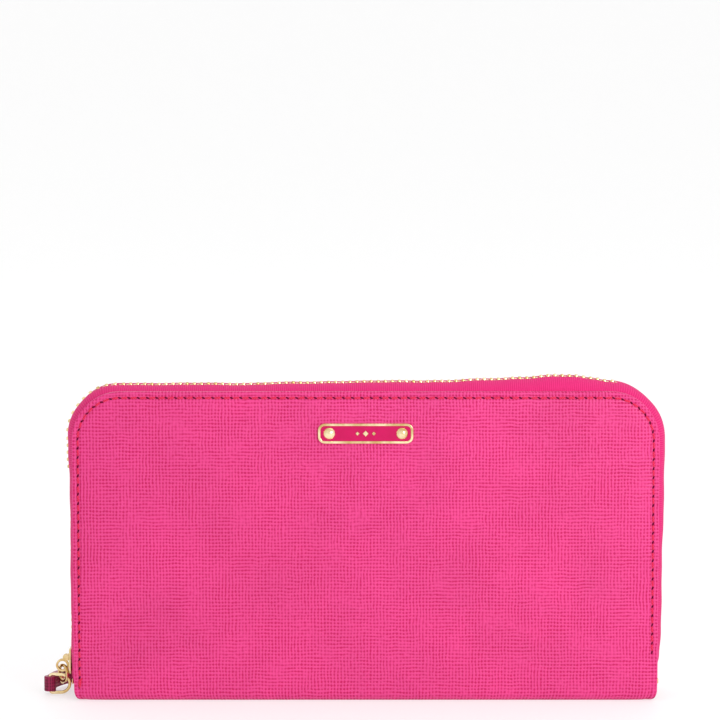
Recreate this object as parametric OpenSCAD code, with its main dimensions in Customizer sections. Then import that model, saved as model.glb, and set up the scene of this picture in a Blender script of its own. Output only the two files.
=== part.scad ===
// Zip-around long wallet with a wrist strap, standing on its folded spine.
// Millimetres, +Z up, +X to the right, the front cover faces -Y.
// The origin is the centre of the spine's flat underside.

/* [Covers] */
// Width of each cover
cover_w = 187; // [184:0.5:192]
// Height of the covers above the surface
cover_h = 99.5; // [96:0.5:104]
// Depth of the closed wallet over both covers
depth = 24; // [24:0.1:25]
// Radius of the two top corners
corner_r = 15.5; // [14:0.5:18]
// Thickness of the outer leather
leather_t = 1; // [0.9:0.05:1]
// Outer radius of the fold between cover and spine
fold_r = 3; // [2.8:0.1:3]

/* [Linings and cards] */
// Thickness of the foam under the leather
foam_t = 0.5; // [0.3:0.1:0.5]
// Thickness of the stiffening board
board_t = 0.7; // [0.5:0.1:0.7]
// Thickness of lining, card base and pocket walls
lining_t = 0.6; // [0.4:0.1:0.6]
// Thickness of one card pocket layer
card_t = 0.4; // [0.3:0.05:0.4]
// Top of the highest card pocket
card_top_z = 74; // [68:1:80]
// Step from one card pocket to the next
card_step = 10; // [8:1:12]

/* [Coin pocket] */
// Half width of the coin pocket
coin_half_w = 84; // [78:1:84]
// Height of the coin pocket's walls
coin_top_z = 80; // [70:1:84]
// Clear depth inside the coin pocket
coin_gap = 4.4; // [4.2:0.1:4.4]

/* [Zipper] */
// Pitch of the teeth on one side
tooth_pitch = 2.27; // [2.2:0.01:2.6]
// Length of one tooth along the zipper
tooth_l = 1; // [0.8:0.05:1]
// Height where the loose part of the zipper starts
zip_low_z = 17; // [17:0.5:20]

/* [Name plate] */
// Length of the plate
plaque_l = 30.3; // [26:0.1:34]
// Height of the plate
plaque_h = 6.4; // [5.5:0.1:7]
// Height of the plate's centre
plaque_z = 86.3; // [78:0.1:88]

/* [Wrist strap] */
// Width of the strap
strap_w = 4.8; // [4:0.1:4.8]
// Thickness of one strap layer
strap_t = 1.1; // [0.9:0.05:1.1]
// Distance from the neck of the strap to its far end
strap_reach = 126; // [90:1:140]

/* [Hidden] */
$fn = 64;

half_w = cover_w / 2;
front_y = -depth / 2;                  // outer face of the front cover
corner_x = half_w - corner_r;          // centre of the top right corner
corner_z = cover_h - corner_r;
fit = 0.05;                            // gap between nested layers

// The fold between cover and spine, which is also the cover's hinge
hinge_y = front_y + fold_r;
hinge_z = fold_r;
fold_half_w = half_w - 2;

// Layers of the front cover, each named by its inner (rear) face
leather_y = front_y + leather_t;
foam_y = leather_y + foam_t;
board_y = foam_y + board_t;
lining_y = board_y + lining_t;
card_base_y = lining_y + lining_t;
panel_low_z = hinge_z + 0.4;
card_half_w = 88.5;
card_base_top_z = 86;                  // clears the zipper's tape at its inner corners
card_pocket_half_w = 88;
card_seam = 1.2;

// Spine
spine_half_y = 6.9;
spine_board_t = 0.8;

// Zipper: its reference line runs up the left side, over the top and down the right side
zip_half_w = half_w - 1.5;
zip_top_z = cover_h - 1.5;
zip_r = zip_half_w - corner_x;
tooth_in = 1.3;                        // teeth, measured outwards from the reference line
tooth_out = 3.1;
tooth_reach = 0.9;                     // how far a tooth crosses the middle
tape_edge = 1.3;                       // where the tape ends and its teeth begin
side_l = corner_z - zip_low_z;
arc_l = zip_r * PI / 2;
zip_l = 2 * side_l + 2 * arc_l + 2 * corner_x;
tooth_count = floor(zip_l / tooth_pitch);

// Tape of the front half: outward distance from the reference line, then y
tape_profile = [
    [-3, lining_y], [0.2, lining_y], [2.2, -4], [2.6, -tape_edge],
    [2, -tape_edge], [1.6, -4], [-0.3, card_base_y], [-3, card_base_y]
];
end_profile = [
    [-2.5, -8.4], [0.4, -8.4], [2, -4.4], [2.4, -tape_edge],
    [1.9, -tape_edge], [1.5, -4.2], [-0.1, -7.9], [-2.5, -7.9]
];
end_low_z = 2.4;
end_tab_t = 1;

// Slider of the main zipper, parked at the lower left end
slider_low_z = 7;
slider_l = 8;
slider_low_w = 7.5;
slider_top_w = 5.6;
inner_plate = [0.3, 1.1];              // outward distances of the two plates
outer_plate = [3.2, 3.9];
bar_r = 0.5;                           // bridge bar that carries the pull link
bar_x = -(zip_half_w + 5.1);
bar_z = 12;

// Chain from the slider to the strap
link_t = 1.3;
link_eye_r = 1.05;
link_ring_r = 2.1;
link_hole_r = 1.4;
link_lean = 24;                        // degrees from straight down, outwards
link_l = 2.9;
hole_x = bar_x - link_l * sin(link_lean);
hole_z = bar_z - link_l * cos(link_lean);
oval_mean_r = 2.6;
oval_wire = 0.9;
oval_yaw = 55;
oval_x = hole_x + 0.25;
oval_y = -0.3;
oval_z = hole_z - 2.57;
ring_w = 7.4;                          // strap ring, a D standing on edge
ring_h = 6.9;
ring_wire = 1;
ring_right_x = -95.4;
ring_y = -0.5;
bar_of_ring_x = ring_right_x - ring_w + ring_wire / 2;

// Strap: a fold round the ring's bar, a curved neck and a drop-shaped loop
strap_z = 1.05;
strap_eye_r = 0.8;
neck_r = 20;
neck_x = bar_of_ring_x + neck_r;
neck_y = ring_y;
neck_end = 96;                         // degrees where the neck ends
loop_r = 13;
loop_x = neck_x + strap_reach - neck_r;
loop_y = neck_y + 34;

// Coin pocket and its own small zipper
coin_wall_y = coin_gap / 2;
coin_low_z = 4;
coin_side_t = 1;
coin_pitch = 2.2;
coin_zip_z = coin_top_z;
coin_slider_x = -68;
coin_travel = 124;
coin_tooth_t = 1.4;
coin_slider_l = 7;
coin_pull_l = 16;

// Name plate and its studs
plaque_t = 0.9;                        // it stands this far off the leather
plaque_corner_r = 2.2;
plaque_rim = 0.8;
stud_x = plaque_l / 2 - 3.6;
stud_r = 1.85;
stud_head = 0.9;
pin_r = 0.6;
washer_r = 2.2;

// Bill gussets: a V folded inwards at each end of the two bill compartments
gusset_out_x = 84;
gusset_fold_x = 76.5;
gusset_t = 0.4;
gusset_top_z = 72;

// ---------- shared shapes ----------

// Turns a plan drawn as (x, z) into a plate between y0 and y1.
module plate(y0, y1) {
    translate([0, y1, 0]) rotate([90, 0, 0]) linear_extrude(y1 - y0) children();
}

// The cover's face as (x, z): square below, round at the two top corners.
module face(inset = 0, low = hinge_z) {
    r = corner_r - inset;
    translate([-half_w + inset, low]) square([cover_w - 2 * inset, corner_z - low]);
    translate([-corner_x, low]) square([2 * corner_x, cover_h - inset - low]);
    for (side = [-1, 1]) translate([side * corner_x, corner_z]) circle(r);
}

// Copies the front half's children to the back half.
module to_back() {
    mirror([0, 1, 0]) children();
}

// Sweeps a 2D profile (outward distance, -y) along the loose part of the zipper.
module along_zip() {
    rotate([90, 0, 0]) for (side = [0, 1]) mirror([side, 0, 0]) {
        translate([zip_half_w, corner_z, 0])
            rotate([90, 0, 0]) linear_extrude(side_l) children();
        translate([corner_x, corner_z, 0])
            rotate_extrude(angle = 90) translate([zip_r, 0]) children();
        translate([0, zip_top_z, 0])
            rotate([90, 0, 90]) linear_extrude(corner_x) children();
    }
}

// Place and outward direction of the zipper's line at distance s from its lower left start.
function half_way(s) =
    s < side_l ? [zip_half_w, zip_low_z + s, 0]
    : s < side_l + arc_l
        ? let (a = (s - side_l) / zip_r * 180 / PI)
          [corner_x + zip_r * cos(a), corner_z + zip_r * sin(a), a]
    : [corner_x - (s - side_l - arc_l), zip_top_z, 90];

function zip_pose(s) =
    s < zip_l / 2
        ? let (p = half_way(s)) [-p[0], p[1], 180 - p[2]]
        : half_way(zip_l - s);

// One front tooth at distance s along the zipper.
module tooth(s) {
    p = zip_pose(s);
    translate([p[0], 0, p[1]]) rotate([0, -p[2], 0])
        translate([tooth_in, -tape_edge, -tooth_l / 2])
            cube([tooth_out - tooth_in, tape_edge + tooth_reach, tooth_l]);
}

// A row of front teeth, each pitch apart, starting at distance s0.
module teeth(count, s0) {
    for (i = [0 : count - 1]) tooth(s0 + i * tooth_pitch);
}

// ---------- spine (root body) ----------

module spine_leather() {
    color([0.78, 0.2, 0.42])
        translate([-fold_half_w, -spine_half_y, 0])
            cube([2 * fold_half_w, 2 * spine_half_y, leather_t]);
}

module spine_board() {
    color([0.85, 0.8, 0.7])
        translate([-card_half_w, -spine_half_y + 0.5, leather_t])
            cube([2 * card_half_w, 2 * spine_half_y - 1, spine_board_t]);
}

module spine_lining() {
    color([0.7, 0.15, 0.35])
        translate([-card_half_w, -spine_half_y + 0.2, leather_t + spine_board_t])
            cube([2 * card_half_w, 2 * spine_half_y - 0.4, lining_t]);
}

// The two tape ends and the tab that joins them at the spine; side is -1 left, 1 right.
module zip_end(side) {
    color([0.8, 0.2, 0.45]) {
        for (flip = [0, 1]) mirror([0, flip, 0])
            translate([0, 0, end_low_z]) linear_extrude(zip_low_z - 0.4 - end_low_z)
                polygon([for (p = end_profile) [side * (zip_half_w + p[0]), p[1]]]);
        translate([side > 0 ? zip_half_w - 2.5 : -zip_half_w - 0.2, -8.4, end_low_z])
            cube([2.7, 16.8, end_tab_t]);
    }
}

module zip_end_left() {
    zip_end(-1);
}

module zip_end_right() {
    zip_end(1);
}

// Closed teeth above the slider on the left, and down to the bottom stop on the right.
module zip_end_teeth() {
    left_count = 3;
    right_count = 5;
    color([0.85, 0.68, 0.35]) {
        for (flip = [0, 1]) {
            shift = flip * tooth_pitch / 2;
            for (i = [1 : left_count]) mirror([0, flip, 0])
                translate([-zip_half_w - tooth_out, -tape_edge, zip_low_z + shift - i * tooth_pitch])
                    cube([tooth_out - tooth_in, tape_edge + tooth_reach, tooth_l]);
            for (i = [1 : right_count]) mirror([0, flip, 0])
                translate([zip_half_w + tooth_in, -tape_edge, zip_low_z + shift - i * tooth_pitch])
                    cube([tooth_out - tooth_in, tape_edge + tooth_reach, tooth_l]);
        }
    }
}

// One stop clamped on each tape below the slider.
module top_stops() {
    color([0.85, 0.68, 0.35])
        for (flip = [0, 1]) mirror([0, flip, 0])
            translate([-zip_half_w - 3, -2.6, end_low_z + end_tab_t + 0.1]) difference() {
                cube([2.2, 1.85, 1.6]);
                translate([0.4, -0.1, -0.1]) cube([1.4, 1.45, 1.8]);
            }
}

// The box stop across both tapes at the right end.
module bottom_stop() {
    color([0.85, 0.68, 0.35])
        translate([zip_half_w + 0.9, -1.25, end_low_z + end_tab_t + 0.1])
            cube([2, 2.5, 1.6]);
}

// ---------- coin pocket (root body) ----------

module coin_wall() {
    plate(-coin_wall_y - lining_t, -coin_wall_y)
        translate([-coin_half_w, coin_low_z])
            square([2 * coin_half_w, coin_top_z - coin_low_z]);
}

module coin_pocket_front() {
    color([0.75, 0.16, 0.38]) coin_wall();
}

module coin_pocket_back() {
    color([0.75, 0.16, 0.38]) to_back() coin_wall();
}

module coin_pocket_gusset() {
    color([0.68, 0.12, 0.32])
        plate(-coin_wall_y, coin_wall_y) difference() {
            translate([-coin_half_w, coin_low_z])
                square([2 * coin_half_w, coin_top_z - 3 - coin_low_z]);
            translate([-coin_half_w + coin_side_t, coin_low_z + coin_side_t])
                square([2 * (coin_half_w - coin_side_t), coin_top_z]);
        }
}

module coin_zip_tape() {
    color([0.8, 0.2, 0.45])
        for (flip = [0, 1]) mirror([0, flip, 0])
            translate([-coin_half_w + 4, -coin_wall_y - lining_t, coin_zip_z])
                cube([2 * (coin_half_w - 4), coin_wall_y + lining_t - 0.9, 0.5]);
}

module coin_zip_teeth() {
    count = floor((coin_travel + 12) / coin_pitch);
    color([0.85, 0.68, 0.35])
        for (i = [0 : count - 1]) for (flip = [0, 1]) mirror([0, flip, 0])
            translate([coin_slider_x + (i + flip / 2) * coin_pitch + coin_slider_l / 2, -0.85,
                       coin_zip_z - 0.3])
                cube([0.9, 1.2, coin_tooth_t]);
}

module coin_zip_stops() {
    stop_x = [coin_slider_x - coin_slider_l / 2 - 2.4, coin_slider_x + coin_travel + 15.5];
    color([0.85, 0.68, 0.35])
        for (x = stop_x)
            translate([x, -1.4, coin_zip_z + 0.5]) cube([1.6, 2.8, 0.8]);
}

module coin_slider() {
    base_z = coin_zip_z + 1.3;
    color([0.9, 0.74, 0.42]) translate([coin_slider_x, 0, 0]) {
        translate([-coin_slider_l / 2, -2.2, base_z])
            cube([coin_slider_l, 4.4, 0.8]);
        translate([-coin_slider_l / 2, -2.2, coin_zip_z - 1.3])
            cube([coin_slider_l, 4.4, 0.8]);
        translate([-coin_slider_l / 2, -0.45, coin_zip_z - 0.6])
            cube([1.2, 0.9, 2]);
        for (side = [-1, 1])
            translate([-1.2, side * 1.3 - 0.3, base_z + 0.7]) cube([2.4, 0.6, 1.9]);
        translate([0, 1.5, base_z + 1.7]) rotate([90, 0, 0]) cylinder(r = 0.4, h = 3);
    }
}

// Leaf pull that hinges on the coin slider's bar.
module coin_pull() {
    color([0.9, 0.74, 0.42])
        translate([coin_slider_x, 0.8, coin_zip_z + 3]) rotate([90, 0, 0]) linear_extrude(1.6)
            difference() {
                union() {
                    circle(0.9);
                    translate([0, -0.5]) square([coin_pull_l - 1, 1]);
                }
                circle(0.45);
            }
}

// ---------- bill gussets (root body, they stretch when a cover opens) ----------

// side is -1 left, 1 right; the V reaches from the coin pocket to the front cover.
module gusset(side) {
    near_y = -coin_wall_y - lining_t - 0.1;
    far_y = card_base_y + 4 * card_t + 0.1;
    mid_y = (near_y + far_y) / 2;
    color([0.7, 0.14, 0.34]) translate([0, 0, panel_low_z + 2])
        linear_extrude(gusset_top_z - panel_low_z - 2) polygon([
            [side * gusset_out_x, near_y],
            [side * gusset_fold_x, mid_y],
            [side * gusset_out_x, far_y],
            [side * gusset_out_x, far_y + gusset_t],
            [side * (gusset_fold_x + 1.6), mid_y],
            [side * gusset_out_x, near_y - gusset_t]
        ]);
}

module gusset_front_left() {
    gusset(-1);
}

module gusset_front_right() {
    gusset(1);
}

module gusset_back_left() {
    to_back() gusset(-1);
}

module gusset_back_right() {
    to_back() gusset(1);
}

// ---------- covers: written for the front, mirrored for the back ----------

// Outer hide: face, turned-in rim, and the quarter-round fold at the bottom.
module cover_leather() {
    plate(front_y, leather_y) face();
    plate(front_y, lining_y) difference() {
        face();
        face(leather_t, hinge_z - 1);
    }
    translate([-fold_half_w, hinge_y, hinge_z]) rotate([90, 0, 90])
        linear_extrude(2 * fold_half_w) intersection() {
            difference() {
                circle(fold_r);
                circle(fold_r - leather_t);
            }
            translate([-fold_r, -fold_r]) square(fold_r);
        }
}

module cover_layer(y0, y1, inset) {
    plate(y0, y1) face(inset, panel_low_z);
}

// Card base with no pockets, square so that it clears the zipper's tape.
module card_sheet(y0, top, half_width) {
    plate(y0, y0 + card_t)
        translate([-half_width, panel_low_z]) square([2 * half_width, top - panel_low_z]);
}

module card_base() {
    plate(lining_y, card_base_y)
        translate([-card_half_w, panel_low_z])
            square([2 * card_half_w, card_base_top_z - panel_low_z]);
}

// Pocket 1 is the highest and lies deepest; every later one is a step lower.
module card_pocket(number) {
    y0 = card_base_y + (number - 1) * card_t;
    top = card_top_z - (number - 1) * card_step;
    plate(y0, y0 + card_t) for (side = [0, 1]) mirror([side, 0])
        translate([card_seam / 2, panel_low_z])
            square([card_pocket_half_w - card_seam / 2, top - panel_low_z]);
}

module cover_tape() {
    along_zip() polygon([for (p = tape_profile) [p[0], -p[1]]]);
}

// Holes through the layers under the plate's studs.
module stud_holes(r, y0, y1) {
    plate(y0, y1) for (side = [-1, 1]) translate([side * stud_x, plaque_z]) circle(r, $fn = 16);
}

module front_leather() {
    color([0.91, 0.27, 0.52]) difference() {
        cover_leather();
        stud_holes(pin_r, front_y - 1, foam_y);
    }
}

module front_foam() {
    color([0.95, 0.92, 0.85]) difference() {
        cover_layer(leather_y, foam_y, leather_t + fit);
        stud_holes(washer_r + 0.1, leather_y - 1, foam_y + 1);
    }
}

module front_board() {
    color([0.85, 0.8, 0.7]) cover_layer(foam_y, board_y, leather_t + fit);
}

module front_lining() {
    color([0.7, 0.15, 0.35]) cover_layer(board_y, lining_y, leather_t + fit);
}

module front_card_base() {
    color([0.75, 0.16, 0.38]) card_base();
}

module front_card_pocket_1() {
    color([0.8, 0.18, 0.42]) card_pocket(1);
}

module front_card_pocket_2() {
    color([0.82, 0.2, 0.44]) card_pocket(2);
}

module front_card_pocket_3() {
    color([0.84, 0.22, 0.46]) card_pocket(3);
}

module front_card_pocket_4() {
    color([0.86, 0.24, 0.48]) card_pocket(4);
}

module front_zip_tape() {
    color([0.86, 0.25, 0.5]) cover_tape();
}

module front_zip_teeth() {
    color([0.88, 0.7, 0.36]) teeth(tooth_count, tooth_pitch / 2);
}

module back_leather() {
    color([0.91, 0.27, 0.52]) to_back() cover_leather();
}

module back_foam() {
    color([0.95, 0.92, 0.85]) to_back() cover_layer(leather_y, foam_y, leather_t + fit);
}

module back_board() {
    color([0.85, 0.8, 0.7]) to_back() cover_layer(foam_y, board_y, leather_t + fit);
}

module back_lining() {
    color([0.7, 0.15, 0.35]) to_back() cover_layer(board_y, lining_y, leather_t + fit);
}

module back_card_base() {
    color([0.75, 0.16, 0.38]) to_back() card_base();
}

module back_card_pocket_1() {
    color([0.8, 0.18, 0.42]) to_back() card_pocket(1);
}

module back_card_pocket_2() {
    color([0.82, 0.2, 0.44]) to_back() card_pocket(2);
}

module back_card_pocket_3() {
    color([0.84, 0.22, 0.46]) to_back() card_pocket(3);
}

module back_card_pocket_4() {
    color([0.86, 0.24, 0.48]) to_back() card_pocket(4);
}

module back_zip_tape() {
    color([0.86, 0.25, 0.5]) to_back() cover_tape();
}

module back_zip_teeth() {
    color([0.88, 0.7, 0.36]) to_back() teeth(tooth_count - 1, tooth_pitch);
}

// ---------- name plate, blank but for three small lozenges ----------

module plaque_plan(inset = 0) {
    flat_x = plaque_l / 2 - plaque_corner_r;
    flat_z = plaque_h / 2 - plaque_corner_r;
    for (x = [-flat_x, flat_x], z = [-flat_z, flat_z])
        translate([x, z]) circle(plaque_corner_r - inset);
    square([2 * flat_x, plaque_h - 2 * inset], center = true);
    square([plaque_l - 2 * inset, 2 * flat_z], center = true);
}

module plaque_frame() {
    color([0.93, 0.76, 0.42]) difference() {
        plate(front_y - plaque_t, front_y) translate([0, plaque_z]) plaque_plan();
        plate(front_y - plaque_t - 1, front_y - 0.4) translate([0, plaque_z]) plaque_plan(plaque_rim);
        plate(front_y - 1, front_y + 1) for (side = [-1, 1])
            translate([side * stud_x, plaque_z]) circle(pin_r);
    }
}

module plaque_enamel() {
    color([0.83, 0.02, 0.38])
        plate(front_y - plaque_t + 0.1, front_y - 0.4) translate([0, plaque_z]) difference() {
            plaque_plan(plaque_rim);
            for (side = [-1, 1]) translate([side * stud_x, 0]) circle(pin_r);
        }
}

module plaque_ornament() {
    color([0.95, 0.8, 0.5])
        plate(front_y - plaque_t - 0.1, front_y - plaque_t + 0.1) for (i = [-1 : 1])
            translate([i * 2.6, plaque_z]) rotate(45) square(i == 0 ? 1.3 : 0.9, center = true);
}

// Two studs: a domed head outside and a pin through plate, leather, foam and board.
module plaque_studs() {
    dome_r = (stud_r * stud_r + stud_head * stud_head) / (2 * stud_head);
    color([0.95, 0.78, 0.45]) for (side = [-1, 1])
        translate([side * stud_x, front_y - plaque_t + 0.1, plaque_z]) rotate([90, 0, 0]) {
            rotate_extrude() intersection() {
                translate([0, stud_head - dome_r]) circle(dome_r);
                square([stud_r, stud_head]);
            }
            translate([0, 0, front_y - plaque_t + 0.1 - leather_y])
                cylinder(r = pin_r - fit, h = leather_y - front_y + plaque_t - 0.1);
        }
}

// Clinch washers on the hidden side of the leather, set into the foam.
module plaque_washers() {
    color([0.8, 0.75, 0.6]) plate(leather_y, foam_y - fit) for (side = [-1, 1])
        translate([side * stud_x, plaque_z]) circle(washer_r);
}

// ---------- slider, chain and strap ----------

// The slider's outline as (y, z): wide at the low end, narrow at the top.
module slider_plan() {
    polygon([
        [-slider_low_w / 2, 1.2], [-slider_low_w / 2 + 1.2, 0],
        [slider_low_w / 2 - 1.2, 0], [slider_low_w / 2, 1.2],
        [slider_low_w / 2, slider_l * 0.45], [slider_top_w / 2, slider_l * 0.7],
        [slider_top_w / 2, slider_l], [-slider_top_w / 2, slider_l],
        [-slider_top_w / 2, slider_l * 0.7], [-slider_low_w / 2, slider_l * 0.45]
    ]);
}

// Lays a plan drawn as (y, z) on the left side, from outward distance r0 to r1.
module on_left(r0, r1) {
    translate([-zip_half_w - r1, 0, slider_low_z])
        rotate([90, 0, 90]) linear_extrude(r1 - r0) children();
}

module slider_body() {
    color([0.92, 0.75, 0.42]) {
        on_left(inner_plate[0], inner_plate[1]) slider_plan();
        on_left(outer_plate[0], outer_plate[1]) slider_plan();
        on_left(inner_plate[1], outer_plate[0])
            polygon([[-0.6, 0.3], [0.6, 0.3], [1, 1.4], [0, 2.6], [-1, 1.4]]);
    }
}

// Two cheeks and the round bar between them.
module slider_bridge() {
    cheek_in = link_t / 2 + 0.3;
    cheek_t = 0.7;
    color([0.92, 0.75, 0.42]) {
        for (side = [-1, 1])
            translate([bar_x, side * (cheek_in + cheek_t / 2) + cheek_t / 2, bar_z])
                rotate([90, 0, 0]) linear_extrude(cheek_t) {
                    circle(0.9);
                    translate([0, -0.9]) square([-zip_half_w - outer_plate[1] - bar_x, 1.8]);
                }
        translate([bar_x, cheek_in, bar_z])
            rotate([90, 0, 0]) cylinder(r = bar_r, h = 2 * cheek_in);
    }
}

// Drop-shaped link: a close eye on the bar and a wide ring below it.
module pull_link() {
    web = 1.5;
    color([0.93, 0.78, 0.48])
        translate([bar_x, link_t / 2, bar_z]) rotate([90, link_lean, 0]) linear_extrude(link_t)
            difference() {
                union() {
                    circle(link_eye_r);
                    translate([-web / 2, -link_l]) square([web, link_l]);
                    translate([0, -link_l]) circle(link_ring_r);
                }
                circle(bar_r + fit);
                translate([0, -link_l]) circle(link_hole_r);
            }
}

// Flat round ring that hangs in the link.
module oval_ring() {
    color([0.95, 0.82, 0.52])
        translate([oval_x, oval_y, oval_z]) rotate([90, 0, -oval_yaw])
            translate([0, 0, -oval_wire / 2]) linear_extrude(oval_wire) difference() {
                circle(oval_mean_r + oval_wire / 2);
                circle(oval_mean_r - oval_wire / 2);
            }
}

// D-shaped ring with its straight bar to the left, where the strap is folded round it.
module strap_ring_plan(inset = 0) {
    right_r = ring_h / 2 - inset;
    left_r = 1.4 - inset;
    right_x = ring_right_x - ring_h / 2;
    left_x = ring_right_x - ring_w + 1.4;
    translate([right_x, ring_h / 2]) circle(right_r);
    for (z = [1.4, ring_h - 1.4]) translate([left_x, z]) circle(max(left_r, 0.2));
    translate([left_x, inset]) square([right_x - left_x, ring_h - 2 * inset]);
    translate([left_x - left_r, 1.4]) square([left_r + 1, ring_h - 2.8]);
}

module strap_ring() {
    color([0.93, 0.78, 0.45])
        plate(ring_y - ring_wire / 2, ring_y + ring_wire / 2) difference() {
            strap_ring_plan();
            strap_ring_plan(ring_wire);
        }
}

// Drop-shaped loop seen from above, shrunk by inset, from the neck's end to the far round.
module loop_plan(inset) {
    hull() {
        translate([neck_x + neck_r * cos(neck_end), neck_y + neck_r * sin(neck_end)])
            circle(strap_t - inset * 0.8, $fn = 24);
        translate([loop_x, loop_y]) circle(loop_r - inset, $fn = 48);
    }
}

module wrist_strap() {
    color([0.72, 0.12, 0.36]) translate([0, 0, strap_z]) linear_extrude(strap_w) {
        difference() {
            union() {
                translate([bar_of_ring_x, ring_y]) circle(strap_eye_r + strap_t);
                intersection() {
                    translate([neck_x, neck_y]) difference() {
                        circle(neck_r + strap_t);
                        circle(neck_r - strap_t);
                    }
                    translate([neck_x, neck_y]) polygon([
                        [0, 0], [-2 * neck_r, 0], [-2 * neck_r, 2 * neck_r],
                        2 * neck_r * [cos(neck_end), sin(neck_end)]
                    ]);
                }
            }
            translate([bar_of_ring_x, ring_y]) circle(strap_eye_r);
        }
        difference() {
            loop_plan(0);
            loop_plan(strap_t);
        }
    }
}

// Flat-headed stud through both strap layers.
module strap_stud() {
    angle = 155;
    color([0.93, 0.76, 0.42])
        translate([neck_x + neck_r * cos(angle), neck_y + neck_r * sin(angle),
                   strap_z + strap_w / 2])
            rotate([0, 90, angle]) for (side = [-1, 1])
                translate([0, 0, side > 0 ? strap_t : -strap_t - 0.72]) cylinder(r = 1.7, h = 0.6);
}

spine_leather();
spine_board();
spine_lining();
zip_end_left();
zip_end_right();
zip_end_teeth();
top_stops();
bottom_stop();
coin_pocket_front();
coin_pocket_back();
coin_pocket_gusset();
coin_zip_tape();
coin_zip_teeth();
coin_zip_stops();
coin_slider();
coin_pull();
gusset_front_left();
gusset_front_right();
gusset_back_left();
gusset_back_right();
front_leather();
front_foam();
front_board();
front_lining();
front_card_base();
front_card_pocket_1();
front_card_pocket_2();
front_card_pocket_3();
front_card_pocket_4();
front_zip_tape();
front_zip_teeth();
plaque_frame();
plaque_enamel();
plaque_ornament();
plaque_studs();
plaque_washers();
back_leather();
back_foam();
back_board();
back_lining();
back_card_base();
back_card_pocket_1();
back_card_pocket_2();
back_card_pocket_3();
back_card_pocket_4();
back_zip_tape();
back_zip_teeth();
slider_body();
slider_bridge();
pull_link();
oval_ring();
strap_ring();
wrist_strap();
strap_stud();
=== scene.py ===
import math

import bmesh
import bpy
from mathutils import Matrix, Vector


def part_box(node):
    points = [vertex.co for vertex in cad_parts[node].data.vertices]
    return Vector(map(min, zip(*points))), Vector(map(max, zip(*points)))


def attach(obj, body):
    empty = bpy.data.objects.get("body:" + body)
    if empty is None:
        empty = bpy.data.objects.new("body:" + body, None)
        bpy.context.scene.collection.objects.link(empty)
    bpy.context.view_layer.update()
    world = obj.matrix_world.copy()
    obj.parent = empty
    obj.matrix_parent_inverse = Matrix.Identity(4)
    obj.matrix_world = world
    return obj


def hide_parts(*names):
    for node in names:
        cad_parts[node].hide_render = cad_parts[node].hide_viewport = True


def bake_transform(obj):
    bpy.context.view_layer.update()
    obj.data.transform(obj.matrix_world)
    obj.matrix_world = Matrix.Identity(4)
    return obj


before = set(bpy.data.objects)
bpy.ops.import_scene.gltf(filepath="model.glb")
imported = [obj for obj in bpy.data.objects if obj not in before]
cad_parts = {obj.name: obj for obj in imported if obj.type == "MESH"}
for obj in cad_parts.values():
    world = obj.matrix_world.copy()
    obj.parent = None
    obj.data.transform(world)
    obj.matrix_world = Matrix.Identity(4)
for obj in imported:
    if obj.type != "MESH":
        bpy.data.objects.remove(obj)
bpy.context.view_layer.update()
MM = 0.001

# ---------------------------------------------------------------- studio
# A pale, faintly glowing table that curves up behind into a white backdrop. A soft light
# stands near the right of the wallet, with weaker ones left, above and behind, and the
# camera looks from a little above.

low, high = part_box("front_leather")
FACE_Y = low.y
SIDE_X = high.x
TOP_Z = high.z

aim = Vector((-1.8 * MM, FACE_Y, 109.7 * MM))
camera_lift = math.radians(5)
camera_reach = 0.9
view_width = 0.2283
bpy.ops.object.camera_add(
    location=aim + camera_reach * Vector((0, -math.cos(camera_lift), math.sin(camera_lift))),
    rotation=(math.pi / 2 - camera_lift, 0, 0),
)
camera = bpy.context.object
camera.data.sensor_width = 36
camera.data.lens = camera.data.sensor_width * camera_reach / view_width
camera.data.clip_start = 0.01
bpy.context.scene.camera = camera
bpy.context.scene.view_settings.view_transform = "Standard"


def soft_light(name, place, target, size, watts, colour=(1, 1, 1)):
    """A square area light that faces its target."""
    bpy.ops.object.light_add(type="AREA", location=place)
    light = bpy.context.object
    light.name = name
    light.data.shape = "RECTANGLE"
    light.data.size, light.data.size_y = size
    light.data.energy = watts
    light.data.color = colour
    aim_line = Vector(target) - Vector(place)
    light.rotation_euler = aim_line.to_track_quat("-Z", "Y").to_euler()
    return light


soft_light("key_light", (0.3, -0.45, 0.25), (0.03, 0, 0.06), (0.2, 0.2), 1.4)
soft_light("fill_light", (-0.8, -0.7, 0.45), (0, 0, 0.05), (0.7, 0.9), 0.05)
soft_light("top_light", (0.1, 0.1, 1.1), (0, 0, 0), (0.9, 0.6), 0.8)
soft_light("back_light", (0.0, 1.0, 0.8), (0, 0, 0.1), (1.2, 0.5), 0.2)

world = bpy.data.worlds.new("studio_air")
bpy.context.scene.world = world
world.use_nodes = True
world.node_tree.nodes["Background"].inputs["Color"].default_value = (1, 1, 1, 1)
world.node_tree.nodes["Background"].inputs["Strength"].default_value = 0.1

bpy.ops.object.select_all(action="DESELECT")
bpy.ops.mesh.primitive_plane_add(size=6, location=(0, 0, 0))
table = bpy.context.object
table.name = "table_top"
bpy.ops.object.mode_set(mode="EDIT")
bpy.ops.mesh.select_mode(type="EDGE")
sheet_mesh = bmesh.from_edit_mesh(table.data)
for edge in sheet_mesh.edges:
    edge.select = all(v.co.y > 2.9 for v in edge.verts)
bmesh.update_edit_mesh(table.data)
bpy.ops.mesh.extrude_region_move(TRANSFORM_OT_translate={"value": (0, 0, 4)})
bpy.ops.mesh.select_all(action="SELECT")
bpy.ops.object.mode_set(mode="OBJECT")
sweep = table.modifiers.new("sweep", "BEVEL")
sweep.width = 1.2
sweep.segments = 16
bpy.ops.object.modifier_apply(modifier="sweep")
bpy.ops.object.shade_smooth()
paper = bpy.data.materials.new("white_paper")
paper.use_nodes = True
paper_shader = paper.node_tree.nodes["Principled BSDF"]
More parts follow.
